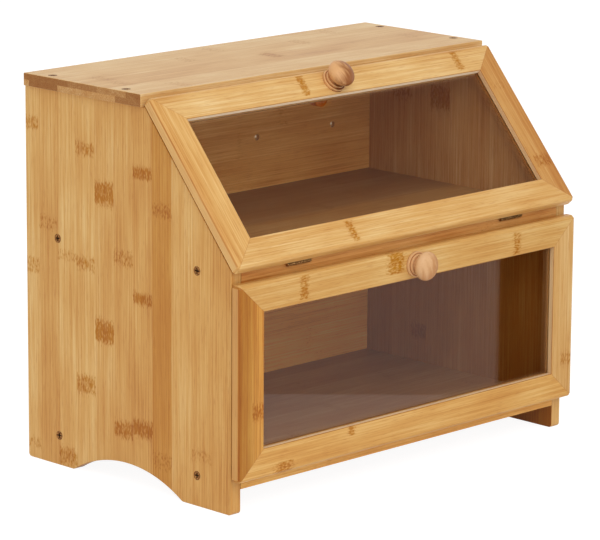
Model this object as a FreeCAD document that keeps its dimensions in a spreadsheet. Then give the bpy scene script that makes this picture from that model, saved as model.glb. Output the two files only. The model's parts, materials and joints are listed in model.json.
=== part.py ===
"""Two-tier bread box of laminated bamboo: a sloping upper door and an upright lower door.

Units are millimetres and +Z is up.  The origin is on the surface that the box stands on,
in the middle of its width and of its full depth, knobs included.  -Y is the front.
Both doors turn down and forward about a hinge line at their lower back edge.
Each door is laid out in its own axes: the origin on the hinge line, X along it,
Z up the door and -Y out of its face.
"""
import FreeCAD, Part
import os
import Sketcher
from FreeCAD import Placement, Rotation, Vector

# ---------------------------------------------------------------- driving dimensions
DIMENSIONS = [
    # the box
    ("top_width", 380.0, "top board, end to end"),
    ("top_depth", 134.0, "top board, front to back"),
    ("top_inset", 2.0, "top board's back edge, forward of the side panels' back edges"),
    ("top_overhang", 3.2, "top board, past each side panel"),
    ("total_height", 308.0, "floor to the top board's upper face"),
    ("side_depth", 231.0, "side panel, front to back at the foot"),
    ("slope_foot", 187.0, "height at which the sloping front starts"),
    ("board", 10.0, "thickness of the top board, shelf and bottom board"),
    ("side_board", 10.0, "thickness of the side panels"),
    ("floor_gap", 19.0, "floor to the underside of the bottom board"),
    ("arch_chord", 124.0, "width of the arch between the feet of a side panel"),
    ("arch_rise", 17.5, "height of that arch"),
    ("foot_round", 3.0, "rounding of the outer corners of the feet"),
    ("arch_round", 5.0, "rounding where the arch meets the feet"),
    ("board_round", 0.6, "easing of the edges of the side panels and the top board"),
    # the back
    ("back_panel", 5.0, "thickness of the back panels"),
    ("back_inset", 16.0, "back panels, forward of the side panels' back edges"),
    ("slot_depth", 4.0, "depth of the slots that hold the back panels"),
    ("slot_play", 0.15, "play of a back panel in its slot, each side"),
    ("vent_radius", 2.6, "radius of the vent holes"),
    ("vent_spacing", 88.0, "vent hole to vent hole"),
    ("vent_height", 230.0, "height of the row of vent holes"),
    ("vent_count", 4.0, "number of vent holes"),
    # the doors
    ("door_inset", 1.5, "door's side edge, in from the end of the top board"),
    ("upper_door_lap", 2.25, "upper door's free edge, past the top of the slope"),
    ("lower_door_lap", 1.0, "lower door's free edge, past the shelf's underside"),
    ("door_gap", 2.7, "closed door's back to the box"),
    ("lower_sill", 27.0, "height of the lower door's hinge line"),
    ("upper_drop", 3.3, "upper door's hinge line, down the slope from where it starts"),
    ("rail", 23.0, "width of the top and bottom rails"),
    ("stile", 25.5, "width of the side stiles"),
    ("frame", 8.0, "thickness of the door frames"),
    ("edge_round", 3.0, "rounding of the outer edge of a door's face"),
    ("inner_round", 0.8, "easing of the inner edge of a door's face"),
    ("corner_clip", 2.2, "clipping of a door's outer corners, along each edge"),
    ("pane", 1.8, "thickness of the clear panes"),
    ("pane_setback", 4.2, "door's face to the face of the pane"),
    ("pane_play", 0.1, "play of a pane in its groove, each side"),
    ("groove_depth", 5.0, "depth of the groove round a pane"),
    ("pane_edge_play", 0.5, "pane's edge to the bottom of its groove"),
    # the knobs
    ("knob_length", 18.0, "door's face to the tip of the knob"),
    ("flange_radius", 10.0, "foot of the knob"),
    ("flange", 2.2, "thickness of that foot"),
    ("step_radius", 8.4, "second step of the foot"),
    ("step", 2.0, "height of that step"),
    ("neck_radius", 6.0, "neck of the knob"),
    ("head_radius", 11.4, "widest part of the knob"),
    ("head_centre", 11.6, "door's face to the widest part of the knob"),
    ("knob_screw_radius", 2.0, "shank of the screw that holds the knob"),
    ("knob_screw_head", 4.0, "radius of its pan head"),
    ("pan_height", 1.6, "height of the pan head"),
    ("knob_grip", 7.0, "length of the knob screw inside the knob"),
    # the hinges
    ("hinge_place", 119.0, "middle of the box to the middle of each hinge"),
    ("hinge_length", 25.0, "length of a hinge"),
    ("knuckle_radius", 1.3, "outside of the hinge knuckles"),
    ("hinge_pin", 0.6, "radius of the hinge pin"),
    ("pin_play", 0.05, "pin to the inside of a knuckle"),
    ("leaf", 0.8, "thickness of a hinge leaf"),
    ("leaf_reach", 12.0, "width of a hinge leaf"),
    ("knuckle_play", 0.35, "knuckle to knuckle, and knuckle to whatever turns round it"),
    ("leaf_screw_place", 7.5, "middle of a hinge to each of its screws"),
    ("leaf_screw_reach", 7.5, "hinge line to the screws of a leaf"),
    ("leaf_screw_radius", 1.0, "shank of the hinge screws"),
    ("leaf_screw_length", 5.5, "length of the hinge screws"),
    # the screws of the box
    ("screw_radius", 1.75, "shank of the assembly screws"),
    ("screw_head", 3.6, "radius of their countersunk heads"),
    ("screw_length", 32.0, "length of the assembly screws"),
    ("screw_play", 0.1, "screw to its hole"),
    ("screw_tip", 3.0, "length of a screw's point"),
    ("recess_width", 1.0, "width of each slot of a cross recess"),
    ("recess_share", 0.62, "reach of the recess, as a share of the head's radius"),
    ("recess_depth", 1.1, "depth of the cross recess"),
    ("side_screw_inset", 37.0, "front and back edges to the side panels' screws"),
    ("top_screw_inset", 25.0, "top board's front and back edges to its screws"),
    # the catches
    ("catch_width", 14.0, "width of a catch, and of its round lower end"),
    ("catch_depth", 8.0, "catch block, front to back"),
    ("upper_catch_below", 7.8, "bottom of the upper catch, below the root of its boss"),
    ("lower_catch_below", 8.0, "bottom of the lower catch, below the root of its boss"),
    ("upper_catch_set", -2.5, "upper catch, behind the top board's front edge"),
    ("lower_catch_set", 5.0, "lower catch, behind the shelf's front edge"),
    ("catch_tab", 2.5, "thickness of the tab that the catch is screwed up by"),
    ("catch_tab_reach", 11.0, "length of that tab, behind the catch"),
    ("boss_radius", 5.0, "round boss of a catch, square to the door"),
    ("boss_set", 0.6, "tip of the boss, behind the front of the box"),
    ("magnet_radius", 3.0, "radius of the catch magnets"),
    ("magnet_length", 4.0, "length of the catch magnets"),
    ("magnet_play", 0.1, "magnet to its seat"),
    ("catch_rest", 0.3, "magnet to the head of the closed door's knob screw"),
    ("catch_screw_length", 10.0, "length of the catch screws"),
    ("catch_screw_radius", 1.3, "shank of the catch screws"),
]

doc = FreeCAD.newDocument("bread_box")
sheet = doc.addObject("Spreadsheet::Sheet", "dims")
for row, (alias, number, meaning) in enumerate(DIMENSIONS, start=1):
    sheet.set(f"A{row}", meaning)
    sheet.set(f"B{row}", str(number))
    sheet.setAlias(f"B{row}", alias)
doc.recompute()

# ---------------------------------------------------------------- places worked out from them
BACK = "(dims.side_depth + dims.door_gap + dims.frame + dims.knob_length) / 2"
FRONT = f"({BACK} - dims.side_depth)"
BOX_WIDTH = "(dims.top_width - 2 * dims.top_overhang)"
INSIDE_WIDTH = f"({BOX_WIDTH} - 2 * dims.side_board)"
SIDE_HEIGHT = "(dims.total_height - dims.board)"
SIDE_TOP_DEPTH = "(dims.top_inset + dims.top_depth + 1)"
SHELF_TOP = "dims.slope_foot"
BOTTOM_TOP = "(dims.floor_gap + dims.board)"
SLOPE_RISE = f"({SIDE_HEIGHT} - dims.slope_foot)"
SLOPE_RUN = f"(dims.side_depth - {SIDE_TOP_DEPTH})"
SLOPE = f"atan2({SLOPE_RISE}; {SLOPE_RUN})"
SLOPE_LENGTH = f"sqrt({SLOPE_RISE} ^ 2 + {SLOPE_RUN} ^ 2)"
SLOT_WIDTH = "(dims.back_panel + 2 * dims.slot_play)"
GROOVE_WIDTH = "(dims.pane + 2 * dims.pane_play)"
BACK_LIP = f"(dims.frame - dims.pane_setback - {GROOVE_WIDTH} + dims.pane_play)"
SCREW_HOLE = "(dims.screw_radius + dims.screw_play)"
COUNTERSINK = "(dims.screw_head - dims.screw_radius)"
LEAF_HOLE = "(dims.leaf_screw_radius + dims.pin_play)"
DOOR_WIDTH = "(dims.top_width - 2 * dims.door_inset)"
CLIP_X = "(dims.corner_clip * dims.stile / (dims.stile + dims.rail))"
CLIP_Z = "(dims.corner_clip * dims.rail / (dims.stile + dims.rail))"
SIDE_MIDDLE = f"({BOX_WIDTH} / 2 - dims.side_board / 2)"
CATCH_SCREW_HEAD = "(dims.catch_screw_radius + dims.catch_tab * 0.6)"

# Each door: its tilt and height, where its hinge line is, how far its back stands off that
# line, the board that carries its hinges, and the catch that holds it shut.
DOORS = {
    "upper": {
        "tilt": f"({SLOPE} - 90 deg)",
        "height": f"({SLOPE_LENGTH} + dims.upper_drop + dims.upper_door_lap)",
        "line_y": f"({FRONT} - dims.upper_drop * cos({SLOPE}))",
        "line_z": f"(dims.slope_foot - dims.upper_drop * sin({SLOPE}))",
        "standoff": "dims.door_gap",
        "web": "(dims.upper_drop + dims.leaf)",
        "board_top": SHELF_TOP,
        "notched": False,
        "flange_start": FRONT,
        "catch_front": f"({BACK} - dims.top_inset - dims.top_depth + dims.upper_catch_set)",
        "catch_top": SIDE_HEIGHT,
        "catch_below": "dims.upper_catch_below",
    },
    "lower": {
        "tilt": "0 deg",
        "height": f"({SHELF_TOP} - dims.board - dims.lower_sill + dims.lower_door_lap)",
        "line_y": f"({FRONT} - dims.door_gap / 2)",
        "line_z": "dims.lower_sill",
        "standoff": "dims.door_gap / 2",
        "web": f"({BOTTOM_TOP} - dims.lower_sill + dims.leaf)",
        "board_top": BOTTOM_TOP,
        "notched": True,
        "flange_start": f"({FRONT} - dims.leaf)",
        "catch_front": f"({FRONT} + dims.lower_catch_set)",
        "catch_top": f"({SHELF_TOP} - dims.board)",
        "catch_below": "dims.lower_catch_below",
    },
}
for layout in DOORS.values():
    layout["knob_place"] = f"({layout['height']} - dims.rail / 2)"
SIDES = {"left": -1, "right": 1}

parts = []


def value(expression):
    """The number that an expression over the sheet gives."""
    result = sheet.evalExpression(expression)
    return float(getattr(result, "Value", result))


def keep(node):
    """Mark an object as one of the sub-parts."""
    parts.append(node)
    return node


def place(item, x="0", y="0", z="0", axis=(1, 0, 0), turn=None):
    """Bind an object's placement to expressions."""
    item.Placement = Placement(Vector(), Rotation(Vector(*axis), 30 if turn else 0))
    for name, expression in (("x", x), ("y", y), ("z", z)):
        item.setExpression(f"Placement.Base.{name}", expression)
    if turn:
        item.setExpression("Placement.Rotation.Angle", turn)
    return item


def place_on_door(item, door, x="0", y="0", z="0", turn="0 deg"):
    """Place an object at a point of a door's own axes, turned about X from those axes."""
    tilt = door["tilt"]
    across = f"{door['line_y']} + ({y}) * cos({tilt}) - ({z}) * sin({tilt})"
    up = f"{door['line_z']} + ({y}) * sin({tilt}) + ({z}) * cos({tilt})"
    return place(item, x, across, up, turn=f"{tilt} + {turn}")


# ---------------------------------------------------------------- sketches and features
def new_body(label):
    body = doc.addObject("PartDesign::Body", label)
    body.Label = label
    return body


def new_sketch(body, name, role, offset):
    """A sketch on one of the body's origin planes, moved along that plane's normal."""
    plane = next(item for item in body.Origin.OriginFeatures if item.Role == role)
    sketch = body.newObject("Sketcher::SketchObject", name)
    sketch.AttachmentSupport = [(plane, "")]
    sketch.MapMode = "FlatFace"
    sketch.setExpression("AttachmentOffset.Base.z", offset)
    return sketch


def pin_point(sketch, geometry, corner, x, y):
    """Hold a sketch point at two expressions, measured from the sketch's origin."""
    for kind, expression in (("DistanceX", x), ("DistanceY", y)):
        number = sketch.addConstraint(
            Sketcher.Constraint(kind, -1, 1, geometry, corner, value(expression)))
        sketch.setExpression(f"Constraints[{number}]", expression)


def outline(body, name, role, points, offset="0"):
    """A closed sketch of straight lines through points given as expressions."""
    sketch = new_sketch(body, name, role, offset)
    spots = [Vector(value(x), value(y), 0) for x, y in points]
    for start, end in zip(spots, spots[1:] + spots[:1]):
        sketch.addGeometry(Part.LineSegment(start, end))
    for index in range(len(points)):
        following = (index + 1) % len(points)
        sketch.addConstraint(Sketcher.Constraint("Coincident", index, 2, following, 1))
    for index, (x, y) in enumerate(points):
        pin_point(sketch, index, 1, x, y)
    return sketch


def rectangle(body, name, role, low, high, offset="0"):
    corners = [low, (high[0], low[1]), high, (low[0], high[1])]
    return outline(body, name, role, corners, offset)


def circles(body, name, role, centres, radius, offset="0"):
    """A sketch of equal circles centred on points given as expressions."""
    sketch = new_sketch(body, name, role, offset)
    for index, (x, y) in enumerate(centres):
        middle = Vector(value(x), value(y), 0)
        sketch.addGeometry(Part.Circle(middle, Vector(0, 0, 1), value(radius)))
        pin_point(sketch, index, 3, x, y)
        number = sketch.addConstraint(Sketcher.Constraint("Radius", index, value(radius)))
        sketch.setExpression(f"Constraints[{number}]", radius)
    return sketch


def pad(body, sketch, length):
    feature = body.newObject("PartDesign::Pad", f"{sketch.Name}_pad")
    feature.Profile = sketch
    feature.setExpression("Length", length)
    doc.recompute()
    return feature


def pocket(body, sketch, length, reverse=False):
    """Cut a sketch into the body, and stop if it takes nothing away."""
    before = body.Shape.Volume
    feature = body.newObject("PartDesign::Pocket", f"{sketch.Name}_cut")
    feature.Profile = sketch
    feature.Reversed = reverse
    feature.setExpression("Length", length)
    doc.recompute()
    if body.Shape.Volume > before - 1e-3:
        raise RuntimeError(f"{feature.Name} cuts nothing")
    return feature


def dress(body, kind, size, chosen):
    """Fillet or chamfer the edges of the body that the test chooses."""
    doc.recompute()
    base = body.Tip
    names = [f"Edge{i}" for i, edge in enumerate(base.Shape.Edges, start=1) if chosen(edge)]
    if not names:
        raise RuntimeError(f"{body.Name} has no edge to {kind}")
    feature = body.newObject(f"PartDesign::{kind}", f"{base.Name}_{kind.lower()}")
    feature.Base = (base, names)
    feature.setExpression("Radius" if kind == "Fillet" else "Size", size)
    doc.recompute()
    return feature


def along_x_at(y, z):
    """Test for the edge that runs along X at one place."""
    def chosen(edge):
        return all(abs(v.Y - y) < 1e-3 and abs(v.Z - z) < 1e-3 for v in edge.Vertexes)
    return chosen


def rim(axis, level, radius):
    """Test for the circular edges of one radius at one level along an axis."""
    def chosen(edge):
        if edge.Degenerated or not isinstance(edge.Curve, Part.Circle):
            return False
        off_level = abs(edge.Curve.Center[axis] - level)
        return off_level < 1e-3 and abs(edge.Curve.Radius - radius) < 1e-3
    return chosen


# ---------------------------------------------------------------- primitives and booleans
def primitive(kind, label, **sizes):
    item = doc.addObject(f"Part::{kind}", label)
    for name, expression in sizes.items():
        item.setExpression(name, expression)
    return item


def box(label, size, corner, door=None):
    """A block from its size and low corner, in the box's axes or in a door's."""
    item = primitive("Box", label, Length=size[0], Width=size[1], Height=size[2])
    if door:
        return place_on_door(item, door, *corner)
    return place(item, *corner)


def rod_on_door(label, door, radius, length, start):
    """A cylinder along the hinge line, from one point of it."""
    item = primitive("Cylinder", label, Radius=radius, Height=length)
    return place(item, start, door["line_y"], door["line_z"], (0, 1, 0), "90 deg")


def fuse(label, items):
    if len(items) == 1:
        return items[0]
    whole = doc.addObject("Part::MultiFuse", label)
    whole.Shapes = items
    return whole


def cut(label, base, tools):
    result = doc.addObject("Part::Cut", label)
    result.Base = base
    result.Tool = fuse(f"{label}_tools", tools)
    return result


def group(label, items):
    """Identical pieces that share one node."""
    whole = doc.addObject("Part::Compound", label)
    whole.Label = label
    whole.Links = items
    return keep(whole)


def countersunk_screw(label, head, shank, length, tip):
    """A cross-recessed screw that points along +Z, its flat head's face at the origin."""
    taper = f"({head} - {shank})"
    cone = primitive("Cone", f"{label}_head", Radius1=head, Radius2=shank, Height=taper)
    stem = primitive("Cylinder", f"{label}_stem", Radius=shank,
                     Height=f"{length} - {taper} - {tip}")
    place(stem, z=taper)
    point = primitive("Cone", f"{label}_point", Radius1=shank, Radius2=f"{shank} / 4", Height=tip)
    place(point, z=f"{length} - {tip}")
    solid = fuse(f"{label}_solid", [cone, stem, point])
    reach = f"({head} * dims.recess_share)"
    width = f"({head} / dims.screw_head * dims.recess_width)"
    depth = f"({head} / dims.screw_head * dims.recess_depth)"
    slot_a = box(f"{label}_slot_a", (f"2 * {reach}", width, f"2 * {depth}"),
                 (f"-{reach}", f"-{width} / 2", f"-{depth}"))
    slot_b = box(f"{label}_slot_b", (width, f"2 * {reach}", f"2 * {depth}"),
                 (f"-{width} / 2", f"-{reach}", f"-{depth}"))
    return cut(label, solid, [slot_a, slot_b])


def box_screw(label):
    return countersunk_screw(label, "dims.screw_head", "dims.screw_radius",
                             "dims.screw_length", "dims.screw_tip")


def leaf_screw(label):
    return countersunk_screw(label, "(dims.leaf_screw_radius + dims.leaf)",
                             "dims.leaf_screw_radius", "dims.leaf_screw_length",
                             "dims.leaf_screw_radius")


# ---------------------------------------------------------------- the box
SIDE_SCREWS_Y = ("-dims.side_screw_inset", "dims.side_screw_inset - dims.side_depth")
SIDE_SCREWS_Z = ("dims.floor_gap + dims.board / 2", f"{SHELF_TOP} - dims.board / 2")
TOP_SCREWS_Y = ("-(dims.top_inset + dims.top_screw_inset)",
                "dims.top_screw_inset - dims.top_inset - dims.top_depth")
SHELF_HINGE_HOLES = [
    (f"{sign} * dims.hinge_place + {step} * dims.leaf_screw_place",
     "dims.leaf_screw_reach - dims.side_depth")
    for sign in (-1, 1) for step in (-1, 1)
]


def side_outline(body, name):
    """The side panel's shape: feet, arch, upright front, slope and back."""
    foot = "(dims.side_depth - dims.arch_chord) / 2"
    points = [
        ("0", "0"),
        (f"-{foot}", "0"),
        (f"{foot} - dims.side_depth", "0"),
        ("-dims.side_depth", "0"),
        ("-dims.side_depth", "dims.slope_foot"),
        (f"-{SIDE_TOP_DEPTH}", SIDE_HEIGHT),
        ("0", SIDE_HEIGHT),
    ]
    sketch = new_sketch(body, name, "YZ_Plane", "0")
    spots = [Vector(value(y), value(z), 0) for y, z in points]
    crown = Vector(-value("dims.side_depth") / 2, value("dims.arch_rise"), 0)
    for index, (start, end) in enumerate(zip(spots, spots[1:] + spots[:1])):
        if index == 1:
            sketch.addGeometry(Part.Arc(start, crown, end))
        else:
            sketch.addGeometry(Part.LineSegment(start, end))
    arch = sketch.Geometry[1]
    forward = (arch.StartPoint - spots[1]).Length < (arch.EndPoint - spots[1]).Length
    ends = {index: (1, 2) for index in range(len(points))}
    if not forward:
        ends[1] = (2, 1)
    for index in range(len(points)):
        following = (index + 1) % len(points)
        sketch.addConstraint(Sketcher.Constraint(
            "Coincident", index, ends[index][1], following, ends[following][0]))
    for index, (y, z) in enumerate(points):
        pin_point(sketch, index, ends[index][0], y, z)
    radius = "(dims.arch_chord ^ 2 / 4 + dims.arch_rise ^ 2) / (2 * dims.arch_rise)"
    number = sketch.addConstraint(Sketcher.Constraint("Radius", 1, value(radius)))
    sketch.setExpression(f"Constraints[{number}]", radius)
    return sketch


def side_panel(side, sign):
    """One side panel, its outer face at x = 0 on the left and x = side_board on the right."""
    label = f"{side}_side_panel"
    body = new_body(label)
    pad(body, side_outline(body, f"{label}_shape"), "dims.side_board")
    edge = value("dims.side_depth")
    foot = (edge - value("dims.arch_chord")) / 2
    outer_corners = [along_x_at(0, 0), along_x_at(-edge, 0)]
    arch_corners = [along_x_at(-foot, 0), along_x_at(foot - edge, 0)]
    dress(body, "Fillet", "dims.foot_round", lambda e: any(test(e) for test in outer_corners))
    dress(body, "Fillet", "dims.arch_round", lambda e: any(test(e) for test in arch_corners))
    dress(body, "Fillet", "dims.board_round", lambda e: e.BoundBox.XLength < 1e-3)

    inner_face = "dims.side_board" if sign < 0 else "0"
    slot = rectangle(body, f"{label}_slot", "YZ_Plane",
                     (f"-(dims.back_inset + {SLOT_WIDTH} - dims.slot_play)", "dims.floor_gap"),
                     ("dims.slot_play - dims.back_inset", SIDE_HEIGHT), inner_face)
    pocket(body, slot, "dims.slot_depth", reverse=sign > 0)

    places = [(y, z) for y in SIDE_SCREWS_Y for z in SIDE_SCREWS_Z]
    holes = circles(body, f"{label}_holes", "YZ_Plane", places, SCREW_HOLE)
    pocket(body, holes, "dims.side_board", reverse=True)
    outer_face = 0 if sign < 0 else value("dims.side_board")
    dress(body, "Chamfer", COUNTERSINK, rim(0, outer_face, value(SCREW_HOLE)))

    pilots = [("dims.side_board / 2", y) for y in TOP_SCREWS_Y]
    top_holes = circles(body, f"{label}_top_holes", "XY_Plane", pilots, SCREW_HOLE, SIDE_HEIGHT)
    pocket(body, top_holes, "dims.screw_length - dims.board + 1")

    x = f"-{BOX_WIDTH} / 2" if sign < 0 else f"{BOX_WIDTH} / 2 - dims.side_board"
    return keep(place(body, x, BACK))


def catch_pilot(body, door):
    """The hole in a board's underside for the screw of the catch that hangs there."""
    y = f"{door['catch_front']} - {BACK} + dims.catch_depth + dims.catch_tab_reach / 2"
    hole = circles(body, f"{body.Name}_catch_hole", "XY_Plane", [("0", y)],
                   "dims.catch_screw_radius + dims.screw_play", "0")
    pocket(body, hole, "dims.catch_screw_length - dims.catch_tab + 0.5", reverse=True)


def top_board():
    body = new_body("top_board")
    shape = rectangle(body, "top_board_shape", "XY_Plane",
                      ("-dims.top_width / 2", "-(dims.top_inset + dims.top_depth)"),
                      ("dims.top_width / 2", "-dims.top_inset"))
    pad(body, shape, "dims.board")
    dress(body, "Fillet", "dims.board_round", lambda edge: True)
    places = [(f"{sign} * {SIDE_MIDDLE}", y) for sign in (-1, 1) for y in TOP_SCREWS_Y]
    holes = circles(body, "top_board_holes", "XY_Plane", places, SCREW_HOLE, "dims.board")
    pocket(body, holes, "dims.board")
    dress(body, "Chamfer", COUNTERSINK, rim(2, value("dims.board"), value(SCREW_HOLE)))
    catch_pilot(body, DOORS["upper"])
    return keep(place(body, "0", BACK, SIDE_HEIGHT))


def cross_board(label, top, door):
    """The shelf or the bottom board, which the side panels' screws hold by its ends."""
    body = new_body(label)
    shape = rectangle(body, f"{label}_shape", "XY_Plane",
                      (f"-{INSIDE_WIDTH} / 2", "-dims.side_depth"), (f"{INSIDE_WIDTH} / 2", "0"))
    pad(body, shape, "dims.board")
    pilots = [(y, "dims.board / 2") for y in SIDE_SCREWS_Y]
    depth = "dims.screw_length - dims.side_board + 1"
    for side, sign in SIDES.items():
        end = circles(body, f"{label}_{side}_end", "YZ_Plane", pilots, SCREW_HOLE,
                      f"{sign} * {INSIDE_WIDTH} / 2")
        pocket(body, end, depth, reverse=sign < 0)
    hinge_holes = circles(body, f"{label}_hinge_holes", "XY_Plane", SHELF_HINGE_HOLES,
                          LEAF_HOLE, "dims.board")
    pocket(body, hinge_holes, "dims.leaf_screw_length")
    if not door["notched"]:
        catch_pilot(body, DOORS["lower"])
    else:
        clear = "(dims.knuckle_radius + dims.knuckle_play)"
        line = f"(dims.lower_sill - {top} + dims.board)"
        for side, sign in SIDES.items():
            middle = f"{sign} * dims.hinge_place"
            half = "(dims.hinge_length / 2 + dims.knuckle_play)"
            notch = rectangle(body, f"{label}_{side}_notch", "XZ_Plane",
                              (f"{middle} - {half}", f"{line} - {clear}"),
                              (f"{middle} + {half}", "dims.board + 1"), "dims.side_depth")
            pocket(body, notch, f"{clear} - dims.door_gap / 2")
    return keep(place(body, "0", BACK, f"{top} - dims.board"))


def back_panel(label, low, high, vented):
    """A thin panel that slides in the side panels' slots, between two boards."""
    body = new_body(label)
    half = f"({INSIDE_WIDTH} / 2 + dims.slot_depth - dims.slot_play)"
    shape = rectangle(body, f"{label}_shape", "XZ_Plane",
                      (f"-{half}", f"{low} + dims.slot_play"), (half, f"{high} - dims.slot_play"))
    pad(body, shape, "dims.back_panel")
    if vented:
        first = "-(dims.vent_count - 1) / 2 * dims.vent_spacing"
        hole = circles(body, f"{label}_vent", "XZ_Plane", [(first, "dims.vent_height")],
                       "dims.vent_radius", "dims.back_panel")
        vent = pocket(body, hole, "dims.back_panel")
        row = body.newObject("PartDesign::LinearPattern", f"{label}_vent_row")
        row.Originals = [vent]
        row.Direction = (hole, ["H_Axis"])
        row.setExpression("Length", "(dims.vent_count - 1) * dims.vent_spacing")
        row.setExpression("Occurrences", "dims.vent_count")
        body.Tip = row
        doc.recompute()
    return keep(place(body, "0", f"{BACK} - dims.back_inset"))


def box_screws():
    """The countersunk screws of the top board and of each side panel."""
    turns = {"left": "90 deg", "right": "-90 deg"}
    for side, sign in SIDES.items():
        screws = []
        for y in SIDE_SCREWS_Y:
            for z in SIDE_SCREWS_Z:
                screw = box_screw(f"{side}_screw_{len(screws)}")
                screws.append(place(screw, f"{sign} * {BOX_WIDTH} / 2", f"{BACK} + {y}", z,
                                    (0, 1, 0), turns[side]))
        group(f"{side}_side_screws", screws)
    screws = []
    for sign in SIDES.values():
        for y in TOP_SCREWS_Y:
            screw = box_screw(f"top_screw_{len(screws)}")
            screws.append(place(screw, f"{sign} * {SIDE_MIDDLE}", f"{BACK} + {y}",
                                "dims.total_height", (1, 0, 0), "180 deg"))
    group("top_board_screws", screws)


# ---------------------------------------------------------------- the doors
def frame_member(door_name, door, piece, corners, outer, inner, groove, extras=()):
    """One mitred member of a door frame, with the groove that holds the pane.

    corners: its outline in the door's face.  outer, inner: which coordinate is constant
    along its outer and inner edges, and its value.  groove: low and high corners of the cut.
    """
    label = f"{door_name}_{piece}"
    body = new_body(label)
    back = door["standoff"]
    pad(body, outline(body, f"{label}_shape", "XZ_Plane", corners, back), "dims.frame")
    cut_face = f"{back} + {BACK_LIP} + {GROOVE_WIDTH}"
    slot = rectangle(body, f"{label}_groove", "XZ_Plane", groove[0], groove[1], cut_face)
    pocket(body, slot, GROOVE_WIDTH)
    face = -value(f"{back} + dims.frame")

    def on_face_along(axis, level, ends):
        def chosen(edge):
            return (isinstance(edge.Curve, Part.Line)
                    and all(abs(v.Y - face) < 1e-3 for v in edge.Vertexes)
                    and ends(abs(v.Point[axis] - level) < 1e-3 for v in edge.Vertexes))
        return chosen

    # The outer rounding runs on over the clipped corners, which touch the outer edge by one end.
    dress(body, "Fillet", "dims.edge_round", on_face_along(outer[0], value(outer[1]), any))
    dress(body, "Fillet", "dims.inner_round", on_face_along(inner[0], value(inner[1]), all))
    for extra in extras:
        extra(body, door)
    return keep(place_on_door(body, door))


def hinge_seats(body, door):
    """Screw holes in the bottom rail's back, and room for the knuckles."""
    places = [(f"{sign} * dims.hinge_place + {step} * dims.leaf_screw_place",
               "dims.leaf_screw_reach") for sign in (-1, 1) for step in (-1, 1)]
    holes = circles(body, f"{body.Name}_hinge_holes", "XZ_Plane", places, LEAF_HOLE,
                    door["standoff"])
    pocket(body, holes, "dims.leaf_screw_length", reverse=True)
    if door["notched"]:
        clear = "(dims.knuckle_radius + dims.knuckle_play)"
        half = "(dims.hinge_length / 2 + dims.knuckle_play)"
        for side, sign in SIDES.items():
            middle = f"{sign} * dims.hinge_place"
            notch = rectangle(body, f"{body.Name}_{side}_notch", "XZ_Plane",
                              (f"{middle} - {half}", "-1"), (f"{middle} + {half}", clear), clear)
            pocket(body, notch, f"{clear} - {door['standoff']}")


def knob_screw_hole(body, door):
    hole = circles(body, f"{body.Name}_knob_hole", "XZ_Plane", [("0", door["knob_place"])],
                   "dims.knob_screw_radius + dims.screw_play", f"{door['standoff']} + dims.frame")
    pocket(body, hole, "dims.frame")


def door_frame(door_name, door):
    """Two rails and two stiles, mitred together round the pane."""
    wide, tall = f"{DOOR_WIDTH} / 2", door["height"]
    open_x, open_low = f"({DOOR_WIDTH} / 2 - dims.stile)", "dims.rail"
    open_high = f"({tall} - dims.rail)"
    deep, clip = "dims.groove_depth", "dims.corner_clip"
    tip_x, tip_high = f"({wide} - {CLIP_X})", f"({tall} - {CLIP_Z})"
    frame_member(door_name, door, "bottom_rail",
                 [(f"{clip} - {wide}", "0"), (f"{wide} - {clip}", "0"), (tip_x, CLIP_Z),
                  (open_x, open_low), (f"-{open_x}", open_low), (f"-{tip_x}", CLIP_Z)],
                 (2, "0"), (2, open_low),
                 ((f"-{wide}", f"{open_low} - {deep}"), (wide, f"{open_low} + 1")),
                 [hinge_seats])
    frame_member(door_name, door, "top_rail",
                 [(f"{clip} - {wide}", tall), (f"-{tip_x}", tip_high), (f"-{open_x}", open_high),
                  (open_x, open_high), (tip_x, tip_high), (f"{wide} - {clip}", tall)],
                 (2, tall), (2, open_high),
                 ((f"-{wide}", f"{open_high} - 1"), (wide, f"{open_high} + {deep}")),
                 [knob_screw_hole])
    for side, sign in SIDES.items():
        edge, inner, tip = (f"{sign} * {x}" for x in (wide, open_x, tip_x))
        bottom = f"{inner} + {sign} * {deep}"
        low_x, high_x = (bottom, f"{inner} + 1") if sign < 0 else (f"{inner} - 1", bottom)
        frame_member(door_name, door, f"{side}_stile",
                     [(edge, clip), (edge, f"{tall} - {clip}"), (tip, tip_high),
                      (inner, open_high), (inner, open_low), (tip, CLIP_Z)],
                     (0, edge), (0, inner),
                     ((low_x, "0"), (high_x, tall)))


def window_pane(door_name, door):
    lap = "(dims.groove_depth - dims.pane_edge_play)"
    width = f"({DOOR_WIDTH} - 2 * dims.stile + 2 * {lap})"
    height = f"({door['height']} - 2 * dims.rail + 2 * {lap})"
    pane = box(f"{door_name}_window_pane", (width, "dims.pane", height),
               (f"-{width} / 2",
                f"-({door['standoff']} + {BACK_LIP} + dims.pane_play + dims.pane)",
                f"dims.rail - {lap}"), door)
    keep(pane)


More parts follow.
